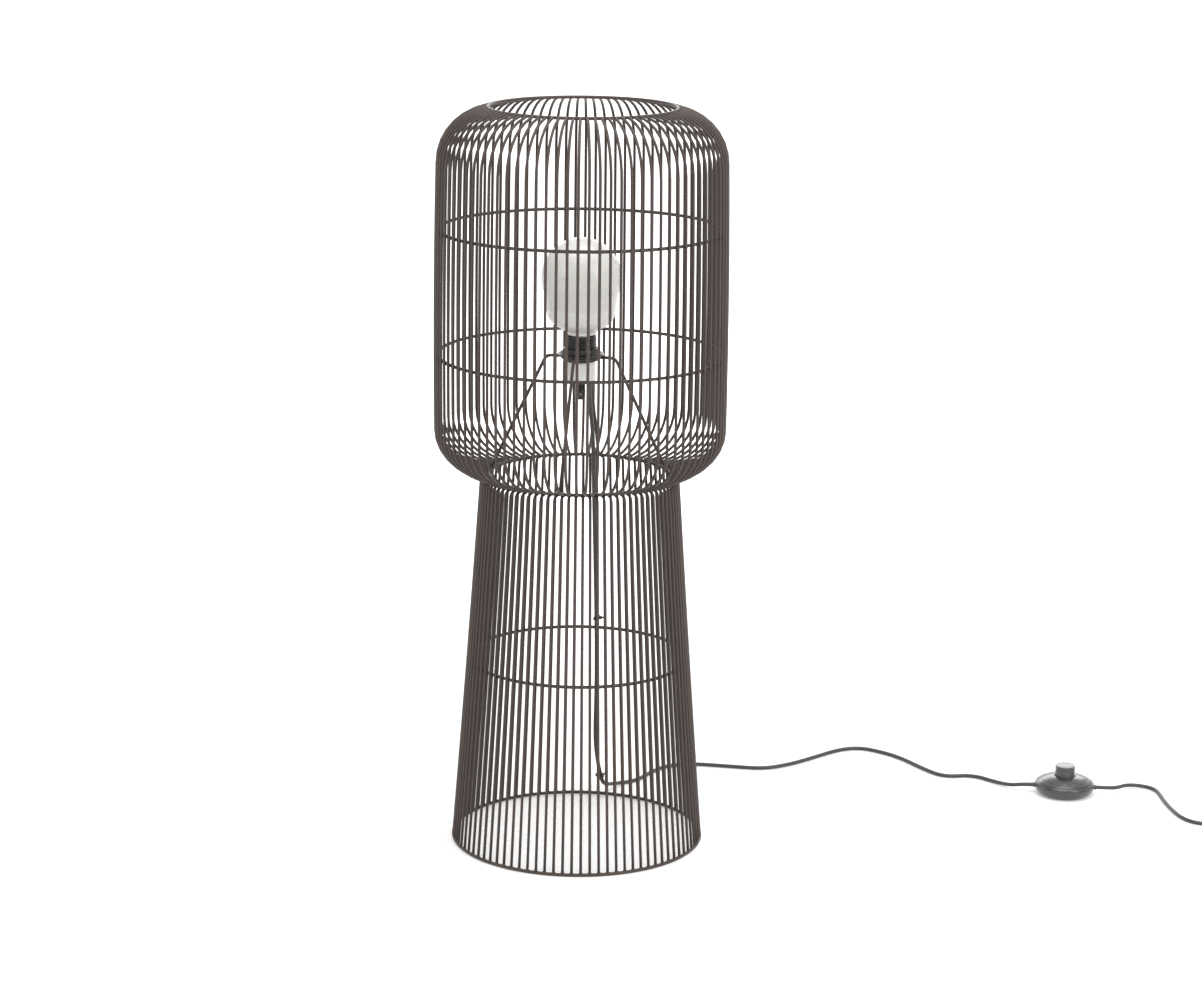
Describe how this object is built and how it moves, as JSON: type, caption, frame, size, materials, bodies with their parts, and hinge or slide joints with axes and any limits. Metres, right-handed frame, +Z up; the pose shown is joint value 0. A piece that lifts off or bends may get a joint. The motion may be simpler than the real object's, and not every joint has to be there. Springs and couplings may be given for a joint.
{
  "type": "wire cage floor lamp",
  "caption": "Floor lamp of close upright wires: a rounded shade cage over a flared base cage, with a bare globe bulb, a foot switch on the lead and a plug.",
  "frame": {"origin": "on the floor, at the centre of the foot ring, under the middle of the lamp", "axes": "+Z up, -Y towards the front of the lamp, +X to the right seen from the front"},
  "size_m": [1.1777, 0.52, 0.9],
  "materials": {
    "cage_paint": "satin",
    "black_plastic": "glossy",
    "cord_gland_white": "satin",
    "white_plastic": "satin",
    "core_ceramic": "glazed",
    "contact_brass": "plain",
    "opal_glass": "opal",
    "cap_aluminium": "plain",
    "insulator_black": "glossy",
    "contact_tin": "plain",
    "screw_steel": "plain",
    "switch_grey": "glossy",
    "mechanism": "plain",
    "cord_sheath": "satin",
    "tie_nylon": "satin",
    "plug_grey": "satin",
    "pin_brass": "polished"
  },
  "bodies": {
    "lamp": {"shade_wires": "cage_paint", "shade_top_ring": "cage_paint", "shade_upper_hoop": "cage_paint", "shade_lower_hoop": "cage_paint", "waist_ring": "cage_paint", "base_wires": "cage_paint", "base_mid_hoop": "cage_paint", "foot_ring": "cage_paint", "spider_legs": "cage_paint", "spider_ring": "cage_paint", "holder_shell": "black_plastic", "clamp_ring": "black_plastic", "holder_core": "core_ceramic", "holder_screw_sleeve": "contact_brass", "holder_cap": "white_plastic", "holder_grip": "black_plastic", "grip_screw": "screw_steel", "cord_gland": "cord_gland_white", "cable_ties": "tie_nylon", "cord_lamp": "cord_sheath", "switch_base": "switch_grey", "switch_cover": "switch_grey", "switch_screws": "screw_steel", "switch_mechanism": "mechanism", "cord_mains": "cord_sheath", "cord_coil": "cord_sheath", "cord_tail": "cord_sheath", "plug_body": "plug_grey", "plug_pins": "pin_brass", "plug_pin_sleeves": "plug_grey"},
    "contact_tongue": {"holder_contact_tongue": "contact_brass"},
    "bulb": {"bulb_globe": "opal_glass", "bulb_screw_cap": "cap_aluminium", "bulb_insulator": "insulator_black", "bulb_contact": "contact_tin"},
    "switch_button": {"switch_button": "switch_grey"}
  },
  "joints": [
    {"name": "bulb_lift", "type": "slide", "parent": "lamp", "child": "contact_tongue", "axis": [0, 0, 1], "range_m": [0, 0.0031]},
    {"name": "bulb_turn", "type": "hinge", "parent": "contact_tongue", "child": "bulb", "pos_m": [0, 0, 0.65], "axis": [0, 0, 1], "range_deg": [0, 300]},
    {"name": "switch_press", "type": "slide", "parent": "lamp", "child": "switch_button", "axis": [0, 0, 1], "range_m": [-0.004, 0], "stiffness_N_per_m": 600, "springref_m": 0.002}
  ],
  "couplings": [
    {"joint": "bulb_lift", "follows": "bulb_turn", "m_per_rad": 0.000578}
  ]
}
